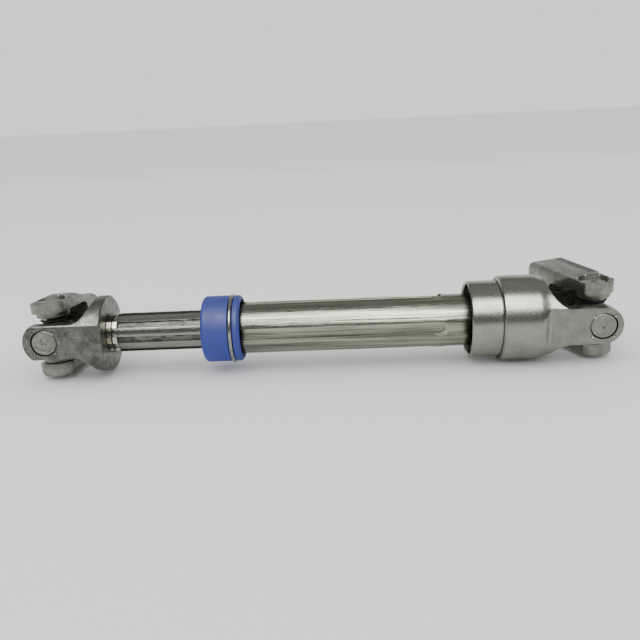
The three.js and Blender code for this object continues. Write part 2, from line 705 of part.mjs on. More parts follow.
const lowerFork = turned(makeLowerFork(), 'z', 180);
placeJoint('upper', upperX, upperPhase, upperTilt, upperFold, makeUpperFork(), makeYoke(upperYoke));
placeJoint('lower', lowerX, lowerPhase, lowerTilt, lowerFold, lowerFork, makeYoke(lowerYoke));

// The part's origin is under the middle of its box, on the surface it lies on.
shaftLine.updateMatrixWorld(true);
const bounds = new THREE.Box3().setFromObject(shaftLine, true);
const middle = bounds.getCenter(new THREE.Vector3());
shaftLine.position.set(-middle.x, -middle.y, -bounds.min.z);

const steeringShaft = new THREE.Group();
steeringShaft.add(shaftLine);
steeringShaft.updateMatrixWorld(true);

export default steeringShaft;
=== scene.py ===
# Telescopic steering shaft with a cross joint at each end, as it lies on a pale table.
import json
import math
import bpy
from mathutils import Matrix, Vector


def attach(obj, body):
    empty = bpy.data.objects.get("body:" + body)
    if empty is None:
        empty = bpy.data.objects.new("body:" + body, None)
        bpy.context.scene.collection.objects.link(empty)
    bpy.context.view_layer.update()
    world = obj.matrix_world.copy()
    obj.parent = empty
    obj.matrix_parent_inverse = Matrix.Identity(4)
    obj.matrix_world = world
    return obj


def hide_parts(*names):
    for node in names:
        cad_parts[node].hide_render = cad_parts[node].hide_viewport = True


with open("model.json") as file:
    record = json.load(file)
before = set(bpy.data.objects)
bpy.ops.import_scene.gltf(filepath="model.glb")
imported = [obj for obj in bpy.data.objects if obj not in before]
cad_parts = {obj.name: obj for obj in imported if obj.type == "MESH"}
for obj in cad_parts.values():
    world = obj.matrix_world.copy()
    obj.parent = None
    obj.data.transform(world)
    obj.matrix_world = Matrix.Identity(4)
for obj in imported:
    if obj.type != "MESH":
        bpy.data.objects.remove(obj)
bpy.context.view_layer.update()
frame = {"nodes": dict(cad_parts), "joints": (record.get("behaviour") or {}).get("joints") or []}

# ---- Studio ---------------------------------------------------------------------
# The camera looks at the shaft from a little above, in a white room. A long soft box
# over the camera and a low one behind draw the highlights on the metal.
hinges = {joint["name"]: joint for joint in frame["joints"]}
upper_centre = Vector(hinges["upper_ear_hinge"]["pos_m"])
lower_centre = Vector(hinges["lower_ear_hinge"]["pos_m"])
shaft_centre = (upper_centre + lower_centre) / 2

camera_offset = Vector((0.0144, -0.4075, 0.1197))
looking_down = 16.369
turned_aside = 2.01
tipped_up = 0.372
rolled = -2.195
camera_data = bpy.data.cameras.new("camera")
camera_data.lens = 39.99
camera_data.sensor_width = 36
camera = bpy.data.objects.new("camera", camera_data)
bpy.context.scene.collection.objects.link(camera)
bpy.context.scene.camera = camera
camera_turn = (
    Matrix.Rotation(math.radians(90 - looking_down), 4, "X")
    @ Matrix.Rotation(math.radians(turned_aside), 4, "Y")
    @ Matrix.Rotation(math.radians(tipped_up), 4, "X")
    @ Matrix.Rotation(math.radians(rolled), 4, "Z")
)
camera.matrix_world = Matrix.Translation(shaft_centre + camera_offset) @ camera_turn


def put_down():
    if bpy.context.mode != "OBJECT":
        bpy.ops.object.mode_set(mode="OBJECT")
    bpy.ops.object.select_all(action="DESELECT")


def soft_light(name, distance, elevation, azimuth, width, height, power):
    """A rectangular light aimed at the shaft. Azimuth 0 is on the camera's side."""
    data = bpy.data.lights.new(name, "AREA")
    data.shape = "RECTANGLE"
    data.size = width
    data.size_y = height
    data.energy = power
    light = bpy.data.objects.new(name, data)
    bpy.context.scene.collection.objects.link(light)
    round_shaft = Matrix.Rotation(math.radians(azimuth), 4, "Z")
    above_table = Matrix.Rotation(math.radians(90 - elevation), 4, "X")
    away = Matrix.Translation((0, 0, distance))
    light.matrix_world = Matrix.Translation(shaft_centre) @ round_shaft @ above_table @ away
    light.visible_camera = False
    return light


soft_light("front_box", 1.1, 54, 0, 1.7, 0.72, 30).visible_diffuse = False
soft_light("back_box", 1.6, 16, 180, 3.6, 0.85, 9).visible_diffuse = False
soft_light("ceiling_box", 1.4, 66, 180, 3.0, 1.1, 3).visible_diffuse = False
soft_light("key_light", 1.4, 60, -25, 1.2, 1.2, 6).visible_glossy = False

floor_colour = (0.92, 0.92, 0.92, 1)
put_down()
bpy.ops.mesh.primitive_plane_add(size=40)
floor = bpy.context.active_object
floor.name = "floor"
floor_finish = bpy.data.materials.new("floor")
floor_finish.use_nodes = True
floor_finish.node_tree.nodes["Principled BSDF"].inputs["Base Color"].default_value = floor_colour
floor_finish.node_tree.nodes["Principled BSDF"].inputs["Roughness"].default_value = 0.9
floor.data.materials.append(floor_finish)

room_brightness = 1.15
dark_wall_colour = (0.15, 0.15, 0.145, 1)
room = bpy.data.worlds.new("room")
bpy.context.scene.world = room
room.use_nodes = True
room_nodes = room.node_tree.nodes
room_light = room_nodes["Background"]
room_light.inputs["Color"].default_value = (1, 1, 1, 1)
room_light.inputs["Strength"].default_value = room_brightness
dark_walls = room_nodes.new("ShaderNodeBackground")
dark_walls.inputs["Color"].default_value = dark_wall_colour
room_mix = room_nodes.new("ShaderNodeMixShader")
ray_kind = room_nodes.new("ShaderNodeLightPath")
room.node_tree.links.new(ray_kind.outputs["Is Glossy Ray"], room_mix.inputs["Fac"])
room.node_tree.links.new(room_light.outputs["Background"], room_mix.inputs[1])
room.node_tree.links.new(dark_walls.outputs["Background"], room_mix.inputs[2])
room.node_tree.links.new(room_mix.outputs["Shader"], room_nodes["World Output"].inputs["Surface"])

# ---- Outer tube -------------------------------------------------------------------
# A drawn and zinc-plated steel tube. Four long tracks are pressed into it from the end
# under the dust cap. Each runs out in a round end with a raised rim, short of the coupling.

# Pieces are made on the bench in millimetres, then settled in place in metres.
shaft_line = Matrix.Translation(shaft_centre) @ Matrix.Scale(0.001, 4)
joint_half_span = 160
clearance = 0.3


def pick_up(piece):
    put_down()
    piece.select_set(True)
    bpy.context.view_layer.objects.active = piece


def turned(profile, rounds=144):
    """A piece turned about X, from its profile of (distance along X, radius)."""
    x, radius = profile[0]
    put_down()
    bpy.ops.mesh.primitive_circle_add(
        vertices=rounds, radius=radius, location=(x, 0, 0), rotation=(0, math.pi / 2, 0))
    bpy.ops.object.transform_apply()
    piece = bpy.context.active_object
    bpy.ops.object.mode_set(mode="EDIT")
    bpy.ops.mesh.select_mode(type="EDGE")
    bpy.ops.mesh.select_all(action="SELECT")
    for next_x, next_radius in profile[1:]:
        bpy.ops.mesh.extrude_edges_move(TRANSFORM_OT_translate={"value": (next_x - x, 0, 0)})
        growth = next_radius / radius
        bpy.ops.transform.resize(value=(1, growth, growth), center_override=(next_x, 0, 0))
        x, radius = next_x, next_radius
    bpy.ops.mesh.select_all(action="SELECT")
    bpy.ops.mesh.remove_doubles(threshold=0.001)
    bpy.ops.mesh.fill_holes(sides=0)
    bpy.ops.mesh.normals_make_consistent(inside=False)
    bpy.ops.object.mode_set(mode="OBJECT")
    return piece


def block(low, high):
    """A rectangular block between two corners."""
    centre = [(a + b) / 2 for a, b in zip(low, high)]
    put_down()
    bpy.ops.mesh.primitive_cube_add(size=1, location=centre)
    piece = bpy.context.active_object
    piece.scale = [b - a for a, b in zip(low, high)]
    bpy.ops.object.transform_apply()
    return piece


ALONG = {"X": (0, math.pi / 2, 0), "Y": (math.pi / 2, 0, 0), "Z": (0, 0, 0)}


def rod(radius, low, high, along="X", centre=(0, 0, 0), rounds=96):
    """A round bar along an axis, between two distances along it."""
    location = Vector(centre)
    location["XYZ".index(along)] += (low + high) / 2
    put_down()
    bpy.ops.mesh.primitive_cylinder_add(
        vertices=rounds, radius=radius, depth=high - low, location=location, rotation=ALONG[along])
    bpy.ops.object.transform_apply()
    return bpy.context.active_object


def choose_edges(piece, test):
    """Opens the piece for editing with the edges chosen whose middle and direction pass the test."""
    pick_up(piece)
    mesh = piece.data
    for polygon in mesh.polygons:
        polygon.select = False
    for vertex in mesh.vertices:
        vertex.select = False
    for edge in mesh.edges:
        a, b = (mesh.vertices[i].co for i in edge.vertices)
        edge.select = test((a + b) / 2, (b - a).normalized())
    bpy.context.tool_settings.mesh_select_mode = (False, True, False)
    bpy.ops.object.mode_set(mode="EDIT")


def round_edges(piece, test, radius, steps):
    choose_edges(piece, test)
    bpy.ops.mesh.bevel(offset=radius, segments=steps, affect="EDGES")
    bpy.ops.object.mode_set(mode="OBJECT")


def slide_edges(piece, test, shift):
    choose_edges(piece, test)
    bpy.ops.transform.translate(value=shift)
    bpy.ops.object.mode_set(mode="OBJECT")


def work(piece, tool, operation):
    """Cuts a tool's shape out of the piece, joins it on, or keeps what both share."""
    pick_up(piece)
    step = piece.modifiers.new("work", "BOOLEAN")
    step.operation = operation
    step.object = tool
    step.solver = "EXACT"
    bpy.ops.object.modifier_apply(modifier=step.name)
    bpy.data.objects.remove(tool)
    return piece


def cut(piece, tool):
    return work(piece, tool, "DIFFERENCE")


def weld(piece, tool):
    return work(piece, tool, "UNION")


def copies_round(piece, count):
    """The piece and its copies at equal angles about X, as one object."""
    pieces = [piece]
    for i in range(1, count):
        copy = piece.copy()
        copy.data = piece.data.copy()
        bpy.context.scene.collection.objects.link(copy)
        copy.matrix_world = Matrix.Rotation(2 * math.pi * i / count, 4, "X")
        pieces.append(copy)
    put_down()
    for copy in pieces:
        copy.select_set(True)
    bpy.context.view_layer.objects.active = piece
    bpy.ops.object.join()
    return piece


def soften(piece, width, steps=3, angle=30):
    """Breaks the sharp edges all over a piece."""
    pick_up(piece)
    bpy.ops.object.mode_set(mode="EDIT")
    bpy.ops.mesh.select_all(action="SELECT")
    bpy.ops.mesh.remove_doubles(threshold=0.005)
    bpy.ops.mesh.dissolve_limited(angle_limit=math.radians(0.4))
    bpy.ops.object.mode_set(mode="OBJECT")
    step = piece.modifiers.new("edges", "BEVEL")
    step.width = width
    step.segments = steps
    step.limit_method = "ANGLE"
    step.angle_limit = math.radians(angle)
    bpy.ops.object.modifier_apply(modifier=step.name)
    return piece


def settle(piece, name, place, body, nodes, finish):
    """Sets a finished piece where its CAD node is, on its body, with its material."""
    piece.name = name
    piece.data.name = name
    piece.matrix_world = place
    pick_up(piece)
    bpy.ops.object.transform_apply(location=True, rotation=True, scale=True)
    bpy.ops.object.shade_smooth_by_angle(angle=math.radians(32))
    piece.data.materials.clear()
    piece.data.materials.append(finish)
    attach(piece, body)
    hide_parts(*nodes)
    return piece


def metal_effect():
    """Mottled plating: two colours in soft patches, finer grain, and a matching roughness and relief."""
    group = bpy.data.node_groups.new("mottled_metal", "ShaderNodeTree")
    face = group.interface
    for name, kind in (
            ("Vector", "NodeSocketVector"), ("Light", "NodeSocketColor"), ("Dark", "NodeSocketColor"),
            ("Patch Scale", "NodeSocketFloat"), ("Grain Scale", "NodeSocketFloat"),
            ("Smooth", "NodeSocketFloat"), ("Rough", "NodeSocketFloat")):
        face.new_socket(name=name, in_out="INPUT", socket_type=kind)
    for name, kind in (
            ("Color", "NodeSocketColor"), ("Roughness", "NodeSocketFloat"), ("Height", "NodeSocketFloat")):
        face.new_socket(name=name, in_out="OUTPUT", socket_type=kind)
    nodes, link = group.nodes, group.links.new
    inlet = nodes.new("NodeGroupInput")
    outlet = nodes.new("NodeGroupOutput")
    patches = nodes.new("ShaderNodeTexNoise")
    patches.inputs["Detail"].default_value = 4
    grain = nodes.new("ShaderNodeTexNoise")
    grain.inputs["Detail"].default_value = 6
    grain.inputs["Roughness"].default_value = 0.65
    link(inlet.outputs["Vector"], patches.inputs["Vector"])
    link(inlet.outputs["Vector"], grain.inputs["Vector"])
    link(inlet.outputs["Patch Scale"], patches.inputs["Scale"])
    link(inlet.outputs["Grain Scale"], grain.inputs["Scale"])
    both = nodes.new("ShaderNodeMath")
    both.operation = "ADD"
    link(patches.outputs["Fac"], both.inputs[0])
    link(grain.outputs["Fac"], both.inputs[1])
    spread = nodes.new("ShaderNodeMapRange")
    spread.inputs["From Min"].default_value = 0.75
    spread.inputs["From Max"].default_value = 1.25
    link(both.outputs["Value"], spread.inputs["Value"])
    colours = nodes.new("ShaderNodeMix")
    colours.data_type = "RGBA"
    link(spread.outputs["Result"], colours.inputs["Factor"])
    link(inlet.outputs["Dark"], colours.inputs[6])
    link(inlet.outputs["Light"], colours.inputs[7])
    link(colours.outputs[2], outlet.inputs["Color"])
    gloss = nodes.new("ShaderNodeMapRange")
    link(spread.outputs["Result"], gloss.inputs["Value"])
    link(inlet.outputs["Rough"], gloss.inputs["To Min"])
    link(inlet.outputs["Smooth"], gloss.inputs["To Max"])
    link(gloss.outputs["Result"], outlet.inputs["Roughness"])
    link(grain.outputs["Fac"], outlet.inputs["Height"])
    return group


mottled_metal = metal_effect()


def finish_of(name, light, dark, patch, grain, smooth, rough, relief, stretch=(1, 1, 1), metallic=1.0):
    """A material on the mottled effect. Patch and grain are in millimetres, relief in micrometres."""
    finish = bpy.data.materials.new(name)
    finish.use_nodes = True
    nodes, link = finish.node_tree.nodes, finish.node_tree.links.new
    surface = nodes["Principled BSDF"]
    surface.inputs["Metallic"].default_value = metallic
    place = nodes.new("ShaderNodeTexCoord")
    mapping = nodes.new("ShaderNodeMapping")
    mapping.inputs["Scale"].default_value = stretch
    link(place.outputs["Object"], mapping.inputs["Vector"])
    effect = nodes.new("ShaderNodeGroup")
    effect.node_tree = mottled_metal
    effect.inputs["Light"].default_value = (*light, 1)
    effect.inputs["Dark"].default_value = (*dark, 1)
    effect.inputs["Patch Scale"].default_value = 1000 / patch
    effect.inputs["Grain Scale"].default_value = 1000 / grain
    effect.inputs["Smooth"].default_value = smooth
    effect.inputs["Rough"].default_value = rough
    link(mapping.outputs["Vector"], effect.inputs["Vector"])
    bump = nodes.new("ShaderNodeBump")
    bump.inputs["Distance"].default_value = relief * 1e-6
    link(effect.outputs["Height"], bump.inputs["Height"])
    link(effect.outputs["Color"], surface.inputs["Base Color"])
    link(effect.outputs["Roughness"], surface.inputs["Roughness"])
    link(bump.outputs["Normal"], surface.inputs["Normal"])
    return finish


def paint(piece, finish, test):
    """Gives the piece's faces whose middle and facing pass the test a second material."""
    piece.data.materials.append(finish)
    for polygon in piece.data.polygons:
        if test(polygon.center, polygon.normal):
            polygon.material_index = len(piece.data.materials) - 1


def inside_radius(radius):
    """A test for faces nearer the shaft's line than a radius in millimetres."""
    return lambda mid, facing: math.hypot(mid.y - shaft_centre.y, mid.z - shaft_centre.z) < 0.001 * radius


tube_radius = 15.4
tube_wall = 1.6
tube_mouth = joint_half_span - 224
tube_end = joint_half_span - 42
track_end = joint_half_span - 88.5
track_width = 7.2
track_floor = tube_radius - 1.0
track_lean = 0.6
rim_width = 1.7
rim_height = 0.3
rim_length = 6
tube_steel = finish_of(
    "drawn_tube_steel", (0.41, 0.42, 0.325), (0.10, 0.105, 0.085), 2.6, 0.8, 0.15, 0.30, 160,
    stretch=(0.02, 1, 1))

tube = turned([
    (tube_mouth, tube_radius - tube_wall), (tube_mouth, tube_radius), (tube_end, tube_radius),
    (tube_end, tube_radius - tube_wall), (tube_mouth, tube_radius - tube_wall)])
rim = block(
    (track_end - rim_length, -track_width / 2 - rim_width, tube_radius - 1),
    (track_end + rim_width, track_width / 2 + rim_width, tube_radius + 1))
round_edges(rim, lambda mid, way: abs(way.z) > 0.9, track_width / 2 + rim_width - 2.4, 8)
crown = rod(tube_radius + rim_height, track_end - rim_length - 1, track_end + 3, rounds=144)
work(rim, crown, "INTERSECT")
weld(tube, copies_round(rim, 4))
track = block(
    (tube_mouth - 5, -track_width / 2, track_floor),
    (track_end, track_width / 2, tube_radius + 1))
round_edges(
    track, lambda mid, way: mid.x > track_end - 0.1 and abs(way.z) > 0.9, track_width / 2 - 0.05, 10)
choose_edges(track, lambda mid, way: mid.z < tube_radius and abs(way.z) < 0.1)
bpy.ops.transform.resize(
    value=(1, 1 - 2 * track_lean / track_width, 1), center_override=(track_end, 0, track_floor))
bpy.ops.object.mode_set(mode="OBJECT")
cut(tube, copies_round(track, 4))
soften(tube, 0.3, 2, 20)
settle(tube, "tube", shaft_line, "tube_assembly", ["outer_tube"], tube_steel)
# The raised rims round the track ends get a lighter, smoother copy of the tube's steel: a painted
# highlight.
rim_highlight_finish = finish_of(
    "painted_rim_highlight", (0.40, 0.41, 0.325), (0.21, 0.215, 0.17), 2, 0.5, 0.15, 0.26, 80)
below_rims = inside_radius(tube_radius + 0.06)
paint(tube, rim_highlight_finish, lambda mid, facing: not below_rims(mid, facing))

# ---- Inner shaft --------------------------------------------------------------------
# A solid bar with eight grooves rolled along it. It is plated, and its grooves, ring groove
# and neck are painted darker and rougher: a painted shade. Its plain neck is pressed into the lower fork.
shaft_radius = 11.6
neck_radius = 9.6
groove_count = 8
groove_width = 4.0
groove_depth = 1.5
groove_phase = 7.5
grooved_line = shaft_line @ Matrix.Rotation(math.radians(groove_phase), 4, "X")
flange_face = -joint_half_span + 33.6
neck_start = flange_face - 11.6
neck_end = flange_face + 6.7
shaft_end = flange_face + 168
retainer_place = shaft_end - 6.2
retainer_width = 2.2
end_chamfer = 1.5
shaft_steel = finish_of(
    "grooved_shaft_steel", (0.33, 0.34, 0.30), (0.19, 0.195, 0.175), 4, 0.6, 0.15, 0.28, 90,
    stretch=(0.05, 1, 1))
# Darker, rougher steel used as painted shade in the recesses of the shaft.
groove_shade_finish = finish_of(
    "painted_groove_shade", (0.24, 0.245, 0.21), (0.04, 0.042, 0.038), 1.6, 0.5, 0.20, 0.55, 300,
    stretch=(0.25, 1, 1))

shaft = turned([
    (neck_start, neck_radius - 1), (neck_start + 1, neck_radius), (neck_end, neck_radius),
    (neck_end, shaft_radius), (retainer_place, shaft_radius), (retainer_place, neck_radius),
    (retainer_place + retainer_width, neck_radius), (retainer_place + retainer_width, shaft_radius),
    (shaft_end - end_chamfer, shaft_radius), (shaft_end, shaft_radius - end_chamfer)])
groove = block(
    (neck_end - 1, -groove_width / 2, shaft_radius - groove_depth),
    (shaft_end + 1, groove_width / 2, shaft_radius + 1))
cut(shaft, copies_round(groove, groove_count))
soften(shaft, 0.35, 3, 25)
settle(shaft, "shaft", grooved_line, "sliding_shaft", ["inner_shaft"], shaft_steel)
# Faces below the shaft's outside (grooves, ring groove and neck) get the painted shade.
paint(shaft, groove_shade_finish, inside_radius(shaft_radius - 0.25))

# ---- Stop rings -----------------------------------------------------------------------
# Two spring rings snapped onto the neck against the flange, with a pad in every groove
# of the shaft. They are zinc-plated pale yellow, and worn to grey between the pads.
zinc = finish_of("yellow_zinc", (0.66, 0.65, 0.50), (0.46, 0.45, 0.33), 3, 0.5, 0.26, 0.42, 30)
stop_width = 2.6
hoop_radius = shaft_radius - 0.5
pad_side = groove_width / 2 - 0.1
pad_top = 11.95
stop_starts = {"stop_ring_outer": flange_face + clearance, "stop_ring_inner": flange_face + 3.8}

for node, start in stop_starts.items():
    hoop = turned([
        (start, neck_radius + clearance), (start, hoop_radius), (start + stop_width, hoop_radius),
        (start + stop_width, neck_radius + clearance), (start, neck_radius + clearance)], 96)
    pad = block((start, -pad_side, neck_radius + 0.6), (start + stop_width, pad_side, pad_top))
    weld(hoop, copies_round(pad, groove_count))
    soften(hoop, 0.4, 3, 30)
    settle(hoop, node.replace("stop_ring", "stop"), grooved_line, "sliding_shaft", [node],
           zinc)
    paint(hoop, shaft_steel, inside_radius(shaft_radius - 0.2))

# ---- Dust cap ---------------------------------------------------------------------------
# A blue nylon moulding pushed over the tube's mouth. It holds a rubber wiper behind
# its end wall and a rubber boot in its open end, and a wire ring clamps it on.
cap_start = tube_mouth - 5.2
cap_end = cap_start + 22.6
cap_radius = 19.7
cap_bore = 17.4
cap_wall = 2.3
cap_round = 1.4
clamp_place = cap_end - 5.5
clamp_wire = 2.2
clamp_seat = 1.4
clamp_radius = cap_radius + 0.85 - clamp_wire / 2
blue_nylon = finish_of(
    "blue_nylon", (0.022, 0.044, 0.29), (0.017, 0.035, 0.24), 6, 0.7, 0.46, 0.60, 50, metallic=0.0)
rubber = finish_of(
    "black_rubber", (0.022, 0.022, 0.024), (0.010, 0.010, 0.011), 4, 0.35, 0.62, 0.85, 120, metallic=0.0)
spring_wire = finish_of("spring_wire", (0.34, 0.34, 0.33), (0.22, 0.22, 0.21), 3, 0.4, 0.20, 0.32, 20)

cap = turned([
    (cap_start, shaft_radius + clearance), (cap_start, cap_radius - cap_round),
    (cap_start + cap_round, cap_radius),
    (clamp_place - clamp_seat, cap_radius), (clamp_place - clamp_seat, clamp_radius - clamp_seat),
    (clamp_place + clamp_seat, clamp_radius - clamp_seat), (clamp_place + clamp_seat, cap_radius),
    (cap_end - cap_round, cap_radius), (cap_end, cap_radius - cap_round), (cap_end, cap_bore),
    (tube_mouth + 6, cap_bore), (tube_mouth + 6, tube_radius + clearance),
    (tube_mouth + 2, tube_radius + clearance), (tube_mouth + 2, cap_bore),
    (cap_start + cap_wall, cap_bore), (cap_start + cap_wall, shaft_radius + clearance),
    (cap_start, shaft_radius + clearance)])
soften(cap, 0.35, 3, 20)
settle(cap, "cap", shaft_line, "tube_assembly", ["dust_cap"], blue_nylon)

put_down()
bpy.ops.mesh.primitive_torus_add(
    location=(clamp_place, 0, 0), rotation=(0, math.pi / 2, 0), major_segments=128, minor_segments=20,
    major_radius=clamp_radius, minor_radius=clamp_wire / 2)
bpy.ops.object.transform_apply()
clamp = bpy.context.active_object
settle(clamp, "clamp_ring", shaft_line, "tube_assembly", ["cap_clamp_ring"], spring_wire)

boot_start = cap_end - 6.6
boot = turned([
    (boot_start, tube_radius + clearance), (boot_start, cap_bore - clearance),
    (cap_end - 0.6, cap_bore - clearance), (cap_end - 1.4, cap_bore - 0.9),
    (cap_end - 1.4, tube_radius + 0.8), (cap_end - 0.7, tube_radius + clearance),
    (boot_start, tube_radius + clearance)])
soften(boot, 0.15, 2, 20)
settle(boot, "boot", shaft_line, "tube_assembly", ["cap_boot"], rubber)

wiper_face = cap_start + 2.6
wiper = turned([
    (wiper_face, shaft_radius + clearance), (wiper_face, cap_bore - clearance),
    (tube_mouth - clearance, cap_bore - clearance), (tube_mouth - clearance, shaft_radius + 1.2),
    (wiper_face + 0.8, shaft_radius + clearance), (wiper_face, shaft_radius + clearance)])
soften(wiper, 0.15, 2, 20)
settle(wiper, "wiper", shaft_line, "tube_assembly", ["shaft_wiper"], rubber)

# ---- Isolation coupling --------------------------------------------------------------------
# A plated sleeve pressed into the fork's cup, with moulded rubber bonded between it
# and the tube. Behind the rubber a steel plate limits the twist.
sleeve_rim = joint_half_span - 73.9
sleeve_end = joint_half_span - 42
sleeve_radius = 22.6
sleeve_bore = 20.7
cup_steel = finish_of(
    "plated_cup_steel", (0.31, 0.325, 0.275), (0.23, 0.24, 0.205), 7, 0.5, 0.21, 0.30, 60,
    stretch=(0.6, 1, 1))

sleeve = turned([
    (sleeve_rim + 0.2, sleeve_bore + 0.5), (sleeve_rim, sleeve_bore + 1.0),
    (sleeve_rim + 0.15, sleeve_radius - 0.8), (sleeve_rim + 0.6, sleeve_radius - 0.3),
    (sleeve_rim + 1.3, sleeve_radius), (sleeve_end, sleeve_radius), (sleeve_end, sleeve_bore),
    (sleeve_rim + 1.0, sleeve_bore), (sleeve_rim + 0.2, sleeve_bore + 0.5)])
soften(sleeve, 0.15, 2, 20)
settle(sleeve, "sleeve", shaft_line, "coupling", ["coupling_sleeve"], cup_steel)

bush_face = sleeve_rim + 3.4
bush_trough = bush_face + 2.0
bush_end = joint_half_span - 50
bush = turned([
    (bush_face, tube_radius + clearance), (bush_face, tube_radius + 1.2), (bush_trough, tube_radius + 2.0),
    (bush_trough, sleeve_bore - 2.2), (bush_face, sleeve_bore - 1.2), (bush_face, sleeve_bore - clearance),
    (bush_end, sleeve_bore - clearance), (bush_end, tube_radius + clearance),
    (bush_face, tube_radius + clearance)])
soften(bush, 0.25, 3, 20)
settle(bush, "bush", shaft_line, "tube_assembly", ["coupling_bush"], rubber)

# ---- Forks -------------------------------------------------------------------------------------
# The upper fork is deep-drawn: its cup holds the coupling, then necks in to two flat
# ears. The lower fork is forged with a round flange, and the shaft is pressed into it.
# Both are made with the joint's centre at the origin and the ears towards +X.
ear_face = 20.7
bearing_hole = 7.8
stake_radius = 1.1
upper_turn = Matrix.Rotation(math.radians(3.5), 4, "X")
lower_turn = Matrix.Rotation(math.radians(-2.9), 4, "X")
to_metres = Matrix.Scale(0.001, 4)


def sawn(outline, low, high):
    """A plate sawn to an outline drawn in X and Y, between two heights."""
    x, y = outline[0]
    put_down()
    bpy.ops.mesh.primitive_plane_add(size=1, location=(x, y, low))
    bpy.ops.object.transform_apply()
    piece = bpy.context.active_object
    bpy.context.tool_settings.mesh_select_mode = (True, False, False)
    bpy.ops.object.mode_set(mode="EDIT")
    bpy.ops.mesh.select_all(action="SELECT")
    bpy.ops.mesh.merge(type="CENTER")
    for next_x, next_y in outline[1:]:
        bpy.ops.mesh.extrude_vertices_move(TRANSFORM_OT_translate={"value": (next_x - x, next_y - y, 0)})
        x, y = next_x, next_y
    bpy.ops.mesh.select_all(action="SELECT")
    bpy.ops.mesh.edge_face_add()
    bpy.ops.mesh.extrude_region_move(TRANSFORM_OT_translate={"value": (0, 0, high - low)})
    bpy.ops.mesh.select_all(action="SELECT")
    bpy.ops.mesh.normals_make_consistent(inside=False)
    bpy.ops.object.mode_set(mode="OBJECT")
    return piece


def curve(a, b, c, d, steps=12):
    """Points along the smooth line from a to d that leaves towards b and arrives from c."""
    line = []
    for i in range(steps + 1):
        t = i / steps
        weights = ((1 - t) ** 3, 3 * t * (1 - t) ** 2, 3 * t * t * (1 - t), t ** 3)
        line.append(tuple(sum(w * point[k] for w, point in zip(weights, (a, b, c, d))) for k in (0, 1)))
    return line


def trim_to_ears(fork, reach, height, radius, scoop, throat, inner, flattening):
    """Cuts two ears: flats outside, a scoop above and below, a gap between, a round end and a hole.
    Flattening is the line from the round of the fork down to the flats, in X and Y. Scoop is
    the line from the round down to the ear's edge, in X and Z."""
    for side in (-1, 1):
        outline = [
            *flattening, (radius + 4, ear_face), (radius + 4, reach + 4), (flattening[0][0], reach + 4)]
        cut(fork, sawn([(x, side * y) for x, y in outline], -reach - 2, reach + 2))
        outline = [*scoop, (radius + 4, height), (radius + 4, reach + 2), (scoop[0][0], reach + 2)]
        scooped = sawn([(x, side * z) for x, z in outline], -reach - 2, reach + 2)
        pick_up(scooped)
        scooped.rotation_euler = (math.pi / 2, 0, 0)
        bpy.ops.object.transform_apply()
        cut(fork, scooped)
    gap = block((-throat, -inner, -reach - 2), (radius + 4, inner, reach + 2))
    round_edges(gap, lambda mid, way: mid.x < 0.1 - throat and abs(way.z) > 0.9, 5, 10)
    cut(fork, gap)
    corner = block((0, -reach, -reach), (radius + 4, reach, reach))
    cut(corner, rod(radius, -reach - 1, reach + 1, "Y", rounds=128))
    cut(fork, corner)
    cut(fork, rod(bearing_hole, -reach - 2, reach + 2, "Y"))


def stake(piece, radius, face, along, count=4):
    """Punch marks that press metal over the edge of each bearing cap."""
    for side in (-1, 1):
        for i in range(count):
            angle = math.radians(45 + 360 * i / count)
            a, b = radius * math.cos(angle), radius * math.sin(angle)
            centre = (a, side * face, b) if along == "Y" else (a, b, side * face)
            put_down()
            bpy.ops.mesh.primitive_uv_sphere_add(
                segments=16, ring_count=8, radius=stake_radius, location=centre)
            bpy.ops.object.transform_apply()
            cut(piece, bpy.context.active_object)


cup_radius = 25.1
necked_radius = 23.6
cup_bore = 22.9
cup_rim = 56.5
cup_floor = 33
upper_fork = turned([
    (-cup_rim, cup_bore - 0.1), (-cup_rim + 0.05, cup_radius - 1.9), (-cup_rim + 0.4, cup_radius - 0.95),
    (-cup_rim + 1.1, cup_radius - 0.3), (-cup_rim + 2.4, cup_radius), (-36.2, cup_radius),
    (-34.6, cup_radius - 0.25), (-32.6, cup_radius - 0.85), (-30.6, necked_radius + 0.2),
    (-29, necked_radius), (11.5, necked_radius)], 192)
cut(upper_fork, rod(cup_bore, -cup_rim - 1, -cup_floor, rounds=128))
cup_flattening = curve((-36.4, 25.2), (-33.2, 25.0), (-31.6, 21.0), (-29.2, ear_face))
cup_scoop = curve((-31, cup_radius), (-28, 13.8), (-21.5, 10.8), (-18, 10.8), 20)
trim_to_ears(upper_fork, cup_radius, 10.8, 11, cup_scoop, 27.5, 13.6, cup_flattening)
stake(upper_fork, 8.5, ear_face + 0.3, "Y")
soften(upper_fork, 0.55, 3, 28)
upper_place = Matrix.Translation(upper_centre) @ upper_turn @ to_metres
settle(upper_fork, "cup_fork", upper_place, "coupling", ["upper_fork"], cup_steel)
# The flat faces of the ears, inside and out, get a darker, rougher copy of the cup's steel: a painted
# shade.
ear_shade_finish = finish_of(
    "painted_ear_shade", (0.26, 0.27, 0.23), (0.18, 0.185, 0.16), 6, 0.6, 0.25, 0.36, 80)
across_ears = upper_place.to_3x3().normalized() @ Vector((0, 1, 0))
ear_reach = 0.001 * (ear_face + 0.1)
paint(upper_fork, ear_shade_finish, lambda mid, facing: (
    abs(facing.dot(across_ears)) > 0.99 and abs((mid - upper_centre).dot(across_ears)) < ear_reach))

